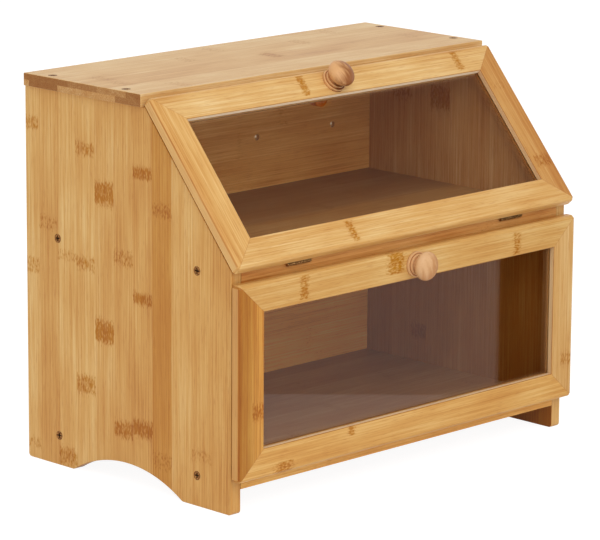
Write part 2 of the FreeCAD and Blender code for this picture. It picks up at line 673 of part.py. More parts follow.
def knob(door_name, door):
    """A turned knob on two round steps, bored for its screw."""
    label = f"{door_name}_knob"
    base = primitive("Cylinder", f"{label}_base", Radius="dims.flange_radius",
                     Height="dims.flange")
    step = primitive("Cylinder", f"{label}_step", Radius="dims.step_radius",
                     Height="dims.flange + dims.step")
    neck = primitive("Cylinder", f"{label}_neck", Radius="dims.neck_radius",
                     Height="dims.head_centre")
    head = primitive("Ellipsoid", f"{label}_head", Radius1="dims.knob_length - dims.head_centre",
                     Radius2="dims.head_radius", Radius3="dims.head_radius")
    place(head, z="dims.head_centre")
    bore = primitive("Cylinder", f"{label}_bore",
                     Radius="dims.knob_screw_radius + dims.screw_play",
                     Height="dims.knob_grip + 1")
    whole = fuse(f"{label}_whole", [base, step, neck, head])
    turned = cut(label, whole, [bore])
    place_on_door(turned, door, y=f"-({door['standoff']} + dims.frame)", z=door["knob_place"],
                  turn="90 deg")
    keep(turned)

    label = f"{door_name}_knob_screw"
    pan = primitive("Cylinder", f"{label}_pan", Radius="dims.knob_screw_head",
                    Height="dims.pan_height")
    place(pan, z="-dims.pan_height")
    stem = primitive("Cylinder", f"{label}_stem", Radius="dims.knob_screw_radius",
                     Height="dims.frame + dims.knob_grip")
    solid = fuse(f"{label}_solid", [pan, stem])
    reach = "(dims.knob_screw_head * dims.recess_share)"
    slot_a = box(f"{label}_slot_a", (f"2 * {reach}", "dims.recess_width", "dims.recess_depth"),
                 (f"-{reach}", "-dims.recess_width / 2", "-dims.pan_height"))
    slot_b = box(f"{label}_slot_b", ("dims.recess_width", f"2 * {reach}", "dims.recess_depth"),
                 ("-dims.recess_width / 2", f"-{reach}", "-dims.pan_height"))
    screw = cut(label, solid, [slot_a, slot_b])
    place_on_door(screw, door, y=f"-{door['standoff']}", z=door["knob_place"], turn="90 deg")
    keep(screw)


def catch(door_name, door):
    """A moulded catch under a board: its magnet faces the head of the knob's screw."""
    label = f"{door_name}_catch"
    half = "dims.catch_width / 2"
    front, top, tilt = door["catch_front"], door["catch_top"], door["tilt"]

    # The boss runs square to the door, from the middle of the block out to its tip.
    line_front = f"(dims.door_gap - {door['standoff']})"
    knob_place = door["knob_place"]
    line_y = f"({door['line_y']} + {line_front} * cos({tilt}) - {knob_place} * sin({tilt}))"
    reach = f"(({front} + dims.catch_depth / 2 - {line_y}) / cos({tilt}))"
    root = (f"({door['line_z']} + ({line_front} + {reach}) * sin({tilt})"
            f" + {knob_place} * cos({tilt}))")
    boss = primitive("Cylinder", f"{label}_boss", Radius="dims.boss_radius",
                     Height=f"{reach} - dims.boss_set")
    place_on_door(boss, door, y=f"{line_front} + {reach}", z=knob_place, turn="90 deg")

    middle = f"({root} - {door['catch_below']} + {half})"
    block = box(f"{label}_block", ("dims.catch_width", "dims.catch_depth", f"{top} - {middle}"),
                (f"-{half}", front, middle))
    round_end = primitive("Cylinder", f"{label}_end", Radius=half, Height="dims.catch_depth")
    place(round_end, "0", f"{front} + dims.catch_depth", middle, turn="90 deg")
    tab = box(f"{label}_tab", ("dims.catch_width", "dims.catch_depth + dims.catch_tab_reach",
                               "dims.catch_tab"), (f"-{half}", front, f"{top} - dims.catch_tab"))

    magnet_face = f"({line_front} - dims.door_gap + dims.pan_height + dims.catch_rest)"
    seat = primitive("Cylinder", f"{label}_seat", Radius="dims.magnet_radius + dims.magnet_play",
                     Height="dims.magnet_length")
    place_on_door(seat, door, y=f"{magnet_face} + dims.magnet_length", z=door["knob_place"],
                  turn="90 deg")
    screw_y = f"({front} + dims.catch_depth + dims.catch_tab_reach / 2)"
    screw_z = f"({top} - dims.catch_tab)"
    sink = primitive("Cone", f"{label}_sink", Radius1=f"{CATCH_SCREW_HEAD} + dims.screw_play",
                     Radius2="dims.catch_screw_radius + dims.screw_play",
                     Height=f"{CATCH_SCREW_HEAD} - dims.catch_screw_radius")
    place(sink, "0", screw_y, screw_z)
    hole = primitive("Cylinder", f"{label}_hole",
                     Radius="dims.catch_screw_radius + dims.screw_play", Height="dims.catch_tab")
    place(hole, "0", screw_y, screw_z)
    solid = fuse(f"{label}_solid", [block, round_end, tab, boss])
    keep(cut(f"{label}_body", solid, [seat, sink, hole]))

    magnet = primitive("Cylinder", f"{label}_magnet", Radius="dims.magnet_radius",
                       Height="dims.magnet_length")
    keep(place_on_door(magnet, door, y=f"{magnet_face} + dims.magnet_length", z=door["knob_place"],
                       turn="90 deg"))
    screw = countersunk_screw(f"{label}_screw", CATCH_SCREW_HEAD, "dims.catch_screw_radius",
                              "dims.catch_screw_length", "dims.catch_screw_radius")
    keep(place(screw, "0", screw_y, screw_z))


# ---------------------------------------------------------------- the hinges
def leaf_bores(label, places, screw_turn):
    """Countersunk holes of a leaf: tools a little larger than the screws."""
    tools = []
    for number, spot in enumerate(places):
        wide = "dims.leaf_screw_radius + dims.leaf + dims.pin_play"
        cone = primitive("Cone", f"{label}_sink_{number}", Radius1=wide, Radius2=LEAF_HOLE,
                         Height="dims.leaf")
        tools.append(screw_turn(cone, *spot))
    return tools


def hinge(door_name, door, side, sign):
    """A small butt hinge: the box's leaf has the outer knuckles, the door's the middle one."""
    label = f"{door_name}_{side}_hinge"
    middle = f"({sign} * dims.hinge_place)"
    third = "(dims.hinge_length / 3)"
    knuckle = f"({third} - dims.knuckle_play / 2)"
    start = f"{middle} - dims.hinge_length / 2"
    inner_start = f"{middle} - {third} / 2 + dims.knuckle_play / 2"
    inner_length = f"({third} - dims.knuckle_play)"
    outer_starts = (start, f"{middle} + {third} / 2 + dims.knuckle_play / 2")
    bore = "dims.hinge_pin + dims.pin_play"
    clear = "dims.knuckle_radius + dims.knuckle_play"
    standoff = door["standoff"]

    # The box's leaf: it climbs from the hinge line to the board's front edge, and lies on top.
    rings = [rod_on_door(f"{label}_outer_{i}", door, "dims.knuckle_radius", knuckle, begin)
             for i, begin in enumerate(outer_starts)]
    web = box(f"{label}_web", ("dims.hinge_length", "dims.leaf", door["web"]),
              (start, f"dims.door_gap - {standoff} - dims.leaf", "0"), door)
    flange = box(f"{label}_flange", ("dims.hinge_length", "dims.leaf_reach", "dims.leaf"),
                 (start, door["flange_start"], door["board_top"]))
    room = rod_on_door(f"{label}_middle_room", door, clear,
                       f"{inner_length} + 2 * dims.knuckle_play",
                       f"{inner_start} - dims.knuckle_play")
    pin_hole = rod_on_door(f"{label}_box_bore", door, bore, "dims.hinge_length + 2",
                           f"{start} - 1")

    def down(item, x, y, z):
        return place(item, x, y, z, (1, 0, 0), "180 deg")

    box_spots = [(f"{middle} + {step} * dims.leaf_screw_place",
                  f"{FRONT} + dims.leaf_screw_reach", f"{door['board_top']} + dims.leaf")
                 for step in (-1, 1)]
    box_leaf = cut(f"{label}_box_leaf", fuse(f"{label}_box_solid", rings + [web, flange]),
                   [room, pin_hole] + leaf_bores(f"{label}_box", box_spots, down))
    keep(box_leaf)

    # The door's leaf: flat on the door's back, with the middle knuckle.
    ring = rod_on_door(f"{label}_inner", door, "dims.knuckle_radius", inner_length, inner_start)
    plate = box(f"{label}_plate", ("dims.hinge_length", "dims.leaf", "dims.leaf_reach"),
                (start, f"-{standoff}", "0"), door)
    neck = box(f"{label}_neck", (inner_length, standoff, "dims.knuckle_radius * 0.75"),
               (inner_start, f"-{standoff}", "0"), door)
    rooms = [rod_on_door(f"{label}_outer_room_{i}", door, clear,
                         f"{knuckle} + dims.knuckle_play", begin)
             for i, begin in enumerate((start, f"{outer_starts[1]} - dims.knuckle_play"))]
    door_bore = rod_on_door(f"{label}_door_bore", door, bore, "dims.hinge_length + 2",
                            f"{start} - 1")

    def outward(item, x, y, z):
        return place_on_door(item, door, x, y, z, "90 deg")

    door_spots = [(f"{middle} + {step} * dims.leaf_screw_place",
                   f"dims.leaf - {standoff}", "dims.leaf_screw_reach") for step in (-1, 1)]
    door_leaf = cut(f"{label}_door_leaf", fuse(f"{label}_door_solid", [ring, plate, neck]),
                    rooms + [door_bore] + leaf_bores(f"{label}_door", door_spots, outward))
    keep(door_leaf)

    keep(rod_on_door(f"{label}_pin", door, "dims.hinge_pin", "dims.hinge_length", start))
    box_screws_here = [down(leaf_screw(f"{label}_box_screw_{i}"), *spot)
                       for i, spot in enumerate(box_spots)]
    door_screws_here = [outward(leaf_screw(f"{label}_door_screw_{i}"), *spot)
                        for i, spot in enumerate(door_spots)]
    return box_screws_here, door_screws_here


# ---------------------------------------------------------------- make everything
for side_name, side_sign in SIDES.items():
    side_panel(side_name, side_sign)
top_board()
cross_board("middle_shelf", SHELF_TOP, DOORS["upper"])
cross_board("bottom_board", BOTTOM_TOP, DOORS["lower"])
back_panel("upper_back_panel", SHELF_TOP, SIDE_HEIGHT, vented=True)
back_panel("lower_back_panel", BOTTOM_TOP, f"({SHELF_TOP} - dims.board)", vented=False)
box_screws()

for door_label, layout in DOORS.items():
    door_frame(door_label, layout)
    window_pane(door_label, layout)
    knob(door_label, layout)
    catch(door_label, layout)
    box_side, door_side = [], []
    for side_name, side_sign in SIDES.items():
        in_box, in_door = hinge(door_label, layout, side_name, side_sign)
        box_side += in_box
        door_side += in_door
    group(f"{door_label}_hinge_box_screws", box_side)
    group(f"{door_label}_hinge_door_screws", door_side)

doc.recompute()

# ---------------------------------------------------------------- check and write
for item in doc.Objects:
    if {"Invalid", "Error"} & set(item.State):
        raise RuntimeError(f"{item.Name} failed: {item.State}")

os.makedirs("parts", exist_ok=True)
for node in parts:
    if node.Shape.isNull() or not node.Shape.isValid():
        raise RuntimeError(f"{node.Label} has no valid shape")
    node.Shape.exportStep(f"parts/{node.Label}.step")
print(len(parts), "sub-parts written")
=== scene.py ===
import json
import math

import bpy
from mathutils import Matrix, Vector

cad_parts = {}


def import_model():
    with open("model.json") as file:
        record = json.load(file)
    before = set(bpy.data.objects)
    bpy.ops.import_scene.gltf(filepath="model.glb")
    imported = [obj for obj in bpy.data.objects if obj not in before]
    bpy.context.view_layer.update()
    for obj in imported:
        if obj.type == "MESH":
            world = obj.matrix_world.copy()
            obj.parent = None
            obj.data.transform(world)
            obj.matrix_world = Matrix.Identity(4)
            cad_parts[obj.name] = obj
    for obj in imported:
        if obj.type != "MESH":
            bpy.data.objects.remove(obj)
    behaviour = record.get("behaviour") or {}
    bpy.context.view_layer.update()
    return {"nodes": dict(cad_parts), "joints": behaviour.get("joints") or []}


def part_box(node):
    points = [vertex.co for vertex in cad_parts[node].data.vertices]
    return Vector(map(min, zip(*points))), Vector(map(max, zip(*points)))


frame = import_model()

# A bread box of laminated bamboo with two framed doors.  Everything is in metres, in the
# frame of the model: +Z up, -Y the front.  The solids come from the frame; this script gives
# them their materials and sets up the floor, the light and the camera.
MM = 0.001
X, Y, Z = Vector((1, 0, 0)), Vector((0, 1, 0)), Vector((0, 0, 1))


def srgb(red, green, blue):
    """A linear colour with alpha, from its 0-255 screen values."""
    def linear(value):
        value /= 255
        return value / 12.92 if value <= 0.04045 else ((value + 0.055) / 1.055) ** 2.4
    return (linear(red), linear(green), linear(blue), 1.0)


# ---------------------------------------------------------------- sizes read from the frame
def size(node):
    """A node's extent along X, Y and Z."""
    low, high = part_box(node)
    return Vector(high) - Vector(low)


def reach(node, start, axis):
    """How far a node's solids reach from a point along an axis."""
    item = frame["nodes"][node]
    return max((item.matrix_world @ vertex.co - start).dot(axis) for vertex in item.data.vertices)


HINGES = {joint["child"]: Vector(joint["pos_m"]) for joint in frame["joints"]}
_, PANE_THICK, PANE_HEIGHT = size("lower_window_pane")
TILTED_PANE = size("upper_window_pane")
# The upper pane is the lower one turned back about X: its box gives the angle.
TILT = math.atan2(TILTED_PANE.y * PANE_HEIGHT - TILTED_PANE.z * PANE_THICK,
                  TILTED_PANE.z * PANE_HEIGHT - TILTED_PANE.y * PANE_THICK)
DOOR_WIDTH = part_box("lower_right_stile")[1][0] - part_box("lower_left_stile")[0][0]
DOOR_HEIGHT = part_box("lower_top_rail")[1][2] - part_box("lower_bottom_rail")[0][2]
RAIL = size("lower_bottom_rail").z
STILE = size("lower_left_stile").x
BACK_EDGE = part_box("left_side_panel")[1][1]
BOARD_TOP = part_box("top_board")[1][2]
SHELF_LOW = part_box("middle_shelf")[0][2]
FOOT_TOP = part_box("bottom_board")[0][2]


# ---------------------------------------------------------------- node building
class Graph:
    """Adds nodes to one tree.  Every input may be a number, a colour or a socket."""

    def __init__(self, tree):
        self.tree = tree

    def node(self, kind, **settings):
        item = self.tree.nodes.new(f"ShaderNode{kind}")
        for name, value in settings.items():
            setattr(item, name, value)
        return item

    def feed(self, socket, value):
        if isinstance(value, bpy.types.NodeSocket):
            self.tree.links.new(value, socket)
        else:
            socket.default_value = value

    def math(self, operation, *values, clamp=False):
        item = self.node("Math", operation=operation, use_clamp=clamp)
        for socket, value in zip(item.inputs, values):
            self.feed(socket, value)
        return item.outputs[0]

    def add(self, a, b):
        return self.math("ADD", a, b)

    def times(self, a, b):
        return self.math("MULTIPLY", a, b)

    def minus(self, a, b):
        return self.math("SUBTRACT", a, b)

    def dot(self, vector, axis):
        item = self.node("VectorMath", operation="DOT_PRODUCT")
        self.feed(item.inputs[0], vector)
        item.inputs[1].default_value = axis
        return item.outputs["Value"]

    def vector(self, x, y, z):
        item = self.node("CombineXYZ")
        for socket, value in zip(item.inputs, (x, y, z)):
            self.feed(socket, value)
        return item.outputs[0]

    def coordinates(self, origin=(0, 0, 0)):
        """A surface point's place, in metres from an origin, and its normal."""
        place = self.node("TexCoord")
        spot = self.node("VectorMath", operation="SUBTRACT")
        self.feed(spot.inputs[0], place.outputs["Object"])
        spot.inputs[1].default_value = origin
        return spot.outputs[0], place.outputs["Normal"]

    def noise(self, vector, detail=2.0):
        item = self.node("TexNoise")
        self.feed(item.inputs["Vector"], vector)
        item.inputs["Scale"].default_value = 1.0
        item.inputs["Detail"].default_value = detail
        return item.outputs["Fac"]

    def speckle(self, spot, scales, detail=2.0):
        """Noise with a number of features per metre along each of X, Y and Z."""
        return self.noise(self.vector(*(self.times(self.dot(spot, axis), scale)
                                        for axis, scale in zip((X, Y, Z), scales))), detail)

    def streaks(self, grain, size, seed, detail=2.0):
        """Noise drawn out along the grain.

        grain: distances along the grain, across it and through the wood.
        size: length and width of the streaks, in millimetres.
        """
        (u, v, w), (long, wide) = grain, size
        stretched = self.vector(self.add(self.times(u, 1 / (long * MM)), seed),
                                self.times(v, 1 / (wide * MM)), self.times(w, 1 / (wide * MM)))
        return self.noise(stretched, detail)

    def facing(self, normal, axis, both=False):
        """1 on the faces that look along an axis, or both ways along it, and 0 elsewhere."""
        along = self.dot(normal, axis)
        return self.smooth(self.math("ABSOLUTE", along) if both else along, 0.5, 0.9)

    def smooth(self, value, low, high):
        """0 at low, 1 at high, eased between; low may be the larger."""
        item = self.node("MapRange", interpolation_type="SMOOTHSTEP")
        for socket, number in zip(item.inputs, (value, low, high, 0.0, 1.0)):
            self.feed(socket, number)
        return item.outputs[0]

    def mix(self, factor, a, b, blend="MIX"):
        item = self.node("Mix", data_type="RGBA", blend_type=blend)
        item.clamp_factor = True
        self.feed(item.inputs["Factor"], factor)
        self.feed(item.inputs[6], a)
        self.feed(item.inputs[7], b)
        return item.outputs[2]

    def ramp(self, value, stops):
        """A colour from a value, through (place, colour) stops."""
        item = self.node("ValToRGB")
        for _ in stops[2:]:
            item.color_ramp.elements.new(0.5)
        for element, (place, _) in zip(item.color_ramp.elements, stops):
            element.position = place
        for element, (_, colour) in zip(item.color_ramp.elements, stops):
            element.color = colour
        self.feed(item.inputs[0], value)
        return item.outputs[0]

    def bump(self, height, distance, strength):
        item = self.node("Bump")
        item.inputs["Strength"].default_value = strength
        item.inputs["Distance"].default_value = distance
        self.feed(item.inputs["Height"], height)
        return item.outputs[0]

    def blend(self, surface, factor, shader_a, shader_b):
        """Feeds a surface with two shaders, mixed by a factor."""
        mixer = self.node("MixShader")
        self.feed(mixer.inputs[0], factor)
        self.feed(mixer.inputs[1], shader_a.outputs[0])
        self.feed(mixer.inputs[2], shader_b.outputs[0])
        self.feed(surface, mixer.outputs[0])

    def group(self, tree, **inputs):
        item = self.node("Group", node_tree=tree)
        for name, value in inputs.items():
            self.feed(item.inputs[name.replace("_", " ")], value)
        return item.outputs


def new_group(name, inputs, outputs):
    tree = bpy.data.node_groups.new(name, "ShaderNodeTree")
    for label in inputs:
        tree.interface.new_socket(label, in_out="INPUT", socket_type="NodeSocketFloat")
    for label, kind in outputs.items():
        tree.interface.new_socket(label, in_out="OUTPUT", socket_type=f"NodeSocket{kind}")
    graph = Graph(tree)
    entry = tree.nodes.new("NodeGroupInput")
    leave = tree.nodes.new("NodeGroupOutput")
    return tree, graph, entry.outputs, leave.inputs


def new_material(name):
    material = bpy.data.materials.new(name)
    material.use_nodes = True
    tree = material.node_tree
    tree.nodes.clear()
    graph = Graph(tree)
    out = graph.node("OutputMaterial")
    return material, graph, out.inputs["Surface"]


def principled(graph, surface, colour, roughness, normal=None, **values):
    shader = graph.node("BsdfPrincipled")
    graph.feed(shader.inputs["Base Color"], colour)
    graph.feed(shader.inputs["Roughness"], roughness)
    if normal is not None:
        graph.feed(shader.inputs["Normal"], normal)
    for name, value in values.items():
        shader.inputs[name.replace("_", " ")].default_value = value
    graph.feed(surface, shader.outputs[0])
    return shader


# ---------------------------------------------------------------- bamboo
PLY = 5 * MM                    # thickness of a layer of strips
NODE_SPACING = 285 * MM         # from node to node of a culm
# Length and width of the streaks of the wood, in millimetres.
FINE, BROAD, CLOUD, HAIR, DASH = (75, 1.1), (170, 5), (55, 24), (11, 0.55), (3, 1.2)
BUNDLES = (300, 1300, 1300)     # fibre bundles in a cut end, per metre
BAMBOO_TONES = [(0.0, srgb(190, 124, 54)), (0.3, srgb(212, 154, 82)),
                (0.6, srgb(224, 173, 102)), (1.0, srgb(242, 205, 142))]
AMBER = srgb(196, 130, 60)
MARK_TINT = (0.66, 0.42, 0.03, 1.0)
END_TINT = (0.58, 0.43, 0.28, 1.0)
END_BASE = (0.9, 0.81, 0.73, 1.0)
SEAM_START, SEAM_FULL = 0.6 * MM, 0.1 * MM      # the line between two strips
NODE_START, NODE_FULL = 9 * MM, 1.5 * MM        # a scattered node, from its middle
BAMBOO_ROUGHNESS, FIBRE_ROUGHNESS, END_ROUGHNESS = 0.33, 0.16, 0.15
BAMBOO_RELIEF = 0.06 * MM
BAMBOO_IOR = 1.32


def ragged_mark(g, near, dashes):
    """How brown a node mark is: solid in its middle, loose dashes towards its ends."""
    level = g.math("MULTIPLY_ADD", g.minus(dashes, 0.5), 1.7, near)
    return g.times(g.smooth(level, 0.1, 1.05), g.math("MULTIPLY_ADD", dashes, 0.5, 0.75))


def mark_group():
    """The brown blotch at a bamboo node: dashes along the fibres, across one strip."""
    tree, g, given, out = new_group(
        "bamboo_mark",
        ["U", "V", "Dashes", "Centre U", "Centre V", "Half U", "Half V", "Strength"],
        {"Mask": "Float"})
    away = g.math("DIVIDE", g.minus(given["U"], given["Centre U"]), given["Half U"])
    near = g.math("EXPONENT", g.times(g.times(away, away), -0.55))
    near = g.times(g.smooth(near, 0.12, 0.95), 0.92)
    aside = g.math("ABSOLUTE", g.minus(given["V"], given["Centre V"]))
    across = g.smooth(g.minus(aside, given["Half V"]), 0.7 * MM, -0.7 * MM)
    near = g.times(g.times(near, across), given["Strength"])
    g.feed(out["Mask"], g.times(ragged_mark(g, near, given["Dashes"]), g.smooth(near, 0.0, 0.15)))
    return tree


def bamboo_group():
    """Pressed bamboo strips: tone, fibres, seams and scattered nodes, from grain coordinates."""
    tree, g, given, out = new_group(
        "bamboo", ["U", "V", "W", "Seed", "Strip", "First Seam", "Spread", "Scatter", "End"],
        {"Color": "Color", "Fibre": "Float", "Dashes": "Float", "Height": "Float"})
    u, v, w, seed = given["U"], given["V"], given["W"], given["Seed"]
    grain = (u, v, w)
    fine = g.streaks(grain, FINE, seed)
    broad = g.streaks(grain, BROAD, g.add(seed, 3.7))
    cloud = g.streaks(grain, CLOUD, g.add(seed, 7.9), 1.0)
    hair = g.streaks(grain, HAIR, g.add(seed, 9.1), 1.0)
    dashes = g.streaks(grain, DASH, g.add(seed, 5.3), 1.0)

    layer = g.math("FLOOR", g.times(w, 1 / PLY))
    strips = g.math("DIVIDE", g.minus(v, given["First Seam"]), given["Strip"])
    strips = g.math("MULTIPLY_ADD", layer, 0.37, strips)
    number = g.add(g.add(g.math("FLOOR", strips), g.times(layer, 13.7)), seed)
    lottery = g.node("TexWhiteNoise", noise_dimensions="1D")
    g.feed(lottery.inputs["W"], number)
    chance = g.node("SeparateColor")
    g.feed(chance.inputs[0], lottery.outputs["Color"])
    tone, warmth, shift = chance.outputs

    level = g.math("MULTIPLY_ADD", g.minus(fine, 0.5), 1.1, 0.5)
    level = g.math("MULTIPLY_ADD", g.minus(broad, 0.5), 0.45, level)
    level = g.math("MULTIPLY_ADD", g.minus(cloud, 0.5), 0.6, level)
    level = g.math("MULTIPLY_ADD", g.minus(tone, 0.5), given["Spread"], level)
    colour = g.ramp(level, BAMBOO_TONES)
    amber = g.times(g.math("POWER", warmth, 3.0), given["Spread"])
    colour = g.mix(g.times(amber, 0.5), colour, AMBER)
    colour = g.mix(g.times(g.smooth(hair, 0.56, 0.74), 0.3), colour, AMBER, "MULTIPLY")

    inside = g.math("FRACT", strips)
    seam_far = g.times(g.minus(0.5, g.math("ABSOLUTE", g.minus(inside, 0.5))), given["Strip"])
    seam = g.smooth(seam_far, SEAM_START, SEAM_FULL)
    colour = g.mix(g.times(seam, 0.3), colour, AMBER)

    # Nodes come at a regular spacing along a culm, so each strip has its own offset.
    turn = g.add(g.times(u, 1 / NODE_SPACING), shift)
    from_node = g.times(g.math("ABSOLUTE", g.minus(g.math("FRACT", turn), 0.5)), NODE_SPACING)
    near = g.times(g.smooth(from_node, NODE_START, NODE_FULL), given["Scatter"])
    near = g.times(near, g.math("MULTIPLY_ADD", tone, 0.6, 0.45))
    blotch = g.times(ragged_mark(g, near, dashes), g.smooth(near, 0.0, 0.15))
    colour = g.mix(blotch, colour, MARK_TINT, "MULTIPLY")

    # Cut ends show the fibre bundles as dots, and each strip as a darker or paler block.
    dots = g.noise(g.vector(*(g.times(a, scale) for a, scale in zip(grain, BUNDLES))), 1.0)
    ends = g.mix(g.times(g.smooth(dots, 0.5, 0.64), 0.35), colour, AMBER, "MULTIPLY")
    ends = g.mix(g.smooth(tone, 0.3, 0.65), ends, END_TINT, "MULTIPLY")
    ends = g.mix(1.0, ends, END_BASE, "MULTIPLY")
    colour = g.mix(given["End"], colour, ends)

    g.feed(out["Color"], colour)
    g.feed(out["Fibre"], fine)
    g.feed(out["Dashes"], dashes)
    g.feed(out["Height"], g.add(g.times(hair, 0.6), g.times(fine, 0.4)))
    return tree


MARK = mark_group()
BAMBOO = bamboo_group()
SIDE_STRIP = 21.6               # strips of the side panels, in millimetres


def bamboo(name, along, across, origin, seed, strip=SIDE_STRIP, first_seam=0.0, spread=0.4,
           scatter=0.0, marks=(), tone_and_shade=(1, 1, 1, 1), extra=None):
    """A bamboo material for one board.

    along, across: unit vectors of the grain and of the strips' width.
    strip, first_seam: width of a strip, and from the origin to a seam, in millimetres.
    spread: how much the strips differ in tone.  scatter: how strong their own nodes are.
    marks: node blotches as (distance along, distance across, half length, half width,
    strength), in millimetres.  tone_and_shade: what the colour is multiplied by; besides the
    wood's own tone it may carry painted light and shade.
    extra: a function that may change the colour further, given the graph and coordinates.
    """
    material, g, surface = new_material(name)
    through = along.cross(across)
    spot, normal = g.coordinates(origin)
    u, v, w = (g.dot(spot, axis) for axis in (along, across, through))
    end = g.smooth(g.math("ABSOLUTE", g.dot(normal, along)), 0.7, 0.9)
    made = g.group(BAMBOO, U=u, V=v, W=w, Seed=seed, Strip=strip * MM,
                   First_Seam=first_seam * MM, Spread=spread, Scatter=scatter, End=end)
    colour, mask = made["Color"], 0.0
    for mark_u, mark_v, half_u, half_v, strength in marks:
        blotch = g.group(MARK, U=u, V=v, Dashes=made["Dashes"], Centre_U=mark_u * MM,
                         Centre_V=mark_v * MM, Half_U=half_u * MM, Half_V=half_v * MM,
                         Strength=strength)
        mask = g.math("MAXIMUM", mask, blotch["Mask"])
    if marks:
        colour = g.mix(mask, colour, MARK_TINT, "MULTIPLY")
    # The piece's own tone, and on some pieces painted light and shade.
    colour = g.mix(1.0, colour, tone_and_shade, "MULTIPLY")
    if extra:
        colour = extra(g, colour, spot, normal)
    roughness = g.math("MULTIPLY_ADD", made["Fibre"], FIBRE_ROUGHNESS, BAMBOO_ROUGHNESS)
    roughness = g.math("MULTIPLY_ADD", end, END_ROUGHNESS, roughness)
    relief = g.bump(made["Height"], BAMBOO_RELIEF, 0.6)
    principled(g, surface, colour, roughness, relief, IOR=BAMBOO_IOR)
    return material


def dress(material, *nodes):
    """Gives pieces a material in place of what they came with."""
    for node in nodes:
        slots = frame["nodes"][node].data.materials
        slots.clear()
        slots.append(material)


# ---------------------------------------------------------------- boards of the box
SIDE_FIRST_SEAM = 15.2          # from the back edge, in millimetres
# Node marks of the left side panel: strip counted from the back, height of the middle,
# half height and strength.
SIDE_MARKS = [
    (0, 269, 5, 0.65), (3, 257, 5, 0.6), (6, 247, 4.5, 0.9), (4, 225, 8, 1.0), (7, 222, 5, 0.55),
    (1, 193, 5, 0.45), (2, 170, 4, 0.45), (3, 167, 5, 0.65), (5, 178, 6, 0.55), (0, 156, 6, 0.55),
    (6, 150, 4.5, 0.9), (4, 117, 8, 1.0), (3, 71, 7, 0.72), (5, 43, 6, 0.85), (6, 48, 6, 0.95),
    (0, 13, 4, 0.5), (2, 9, 7, 0.7), (7, 27, 6, 0.45), (9, 40, 5, 0.35),
]


def side_marks():
    """The left side panel's node marks in the form that bamboo() takes."""
    marks = []
    for strip, height, half, strength in SIDE_MARKS:
        middle = SIDE_FIRST_SEAM + (strip - 0.5) * SIDE_STRIP
        marks.append((height, middle, half, SIDE_STRIP / 2, strength))
    return marks


DARK_STRIP = 6.5                # middle of the darker strip, in strips from the first seam
DARK_START, DARK_FULL = 11 * MM, 10.4 * MM      # its sides, from its middle
DARK_STRIP_TINT = srgb(234, 212, 165)


def darker_strip(g, colour, spot, _normal):
    """One strip of the left side panel is darker than its neighbours."""
    depth = g.dot(spot, -Y)
    middle = (SIDE_FIRST_SEAM + DARK_STRIP * SIDE_STRIP) * MM
    inside = g.smooth(g.math("ABSOLUTE", g.minus(depth, middle)), DARK_START, DARK_FULL)
    return g.mix(inside, colour, DARK_STRIP_TINT, "MULTIPLY")


# Painted shade on the right side panel's inner face: all of it, the lower compartment, the
# front of that, and below the bottom board.
INNER_SHADE, LOW_SHADE = (0.87, 0.86, 0.97, 1), (0.8, 0.66, 0.5, 1)
AHEAD_SHADE, FOOT_SHADE = (0.8, 0.7, 0.45, 1), (0.84, 0.62, 0.12, 1)
AHEAD_FROM, AHEAD_FULL = 140 * MM, 190 * MM
SHADE_EDGE = 2 * MM


def shaded_inside(g, colour, spot, normal):
    """Painted shade makes the right side panel browner inside, more so low down and at its foot.
    """
    height = g.dot(spot, Z)
    inner = g.facing(normal, -X)
    low = g.times(inner, g.smooth(height, SHELF_LOW, SHELF_LOW - SHADE_EDGE))
    foot = g.times(inner, g.smooth(height, FOOT_TOP, FOOT_TOP - SHADE_EDGE))
    ahead = g.times(low, g.smooth(g.dot(spot, -Y), AHEAD_FROM, AHEAD_FULL))
    for level, tint in ((inner, INNER_SHADE), (low, LOW_SHADE), (ahead, AHEAD_SHADE)):
        colour = g.mix(level, colour, tint, "MULTIPLY")
    return g.mix(foot, colour, FOOT_SHADE, "MULTIPLY")


def lit_edges(tint):
    """Painted light on the front and back edges of a board whose inside faces carry painted
    shade.
    """
    def extra(g, colour, _spot, normal):
        return g.mix(g.facing(normal, Y, both=True), colour, tint, "MULTIPLY")
    return extra


# Painted light that lifts the edges of the shelf and the bottom board out of their painted shade.
SHELF_EDGE_LIGHT, BOTTOM_EDGE_LIGHT = (2.2, 2.15, 1.85, 1), (1.9, 1.9, 1.32, 1)
SHELF_ORIGIN = Vector((0, 3, 0.5)) * MM
# The shelf's upper face has painted shadow behind a line, which is this far behind its grain's
# origin, and painted light in front of it.
SHELF_LINE, LINE_HALF = 7 * MM, 6 * MM
SHELF_SHADOW, SHELF_LIGHT = (0.94, 0.88, 0.84, 1), (1.46, 1.74, 1.95, 1)


def painted_light_ahead(g, colour, spot, normal):
    """Painted light makes the shelf's upper face paler in front; its edges get painted light too.
    """
    level = g.smooth(g.dot(spot, Y), SHELF_LINE + LINE_HALF, SHELF_LINE - LINE_HALF)
    tint = g.mix(level, SHELF_SHADOW, SHELF_LIGHT)
    colour = g.mix(g.facing(normal, Z), colour, tint, "MULTIPLY")
    return lit_edges(SHELF_EDGE_LIGHT)(g, colour, spot, normal)


def painted_light_inside(tint):
    """Painted light makes the face of a back panel inside the box paler than its outside."""
    def extra(g, colour, _spot, normal):
        return g.mix(g.facing(normal, -Y), colour, tint, "MULTIPLY")
    return extra


# Painted light on the inside faces of the upper and lower back panels.
UPPER_BACK_LIGHT, LOWER_BACK_LIGHT = (1.2, 1.22, 1.06, 1), (1.6, 1.67, 1.32, 1)
# Painted shade and painted light on the vent holes' walls.
VENT_LIT, VENT_EASE = 3.0 * MM, 0.4 * MM    # where a vent's wall gets light, from the face
VENT_SHADE, VENT_LIGHT = srgb(176, 118, 30), srgb(255, 236, 200)


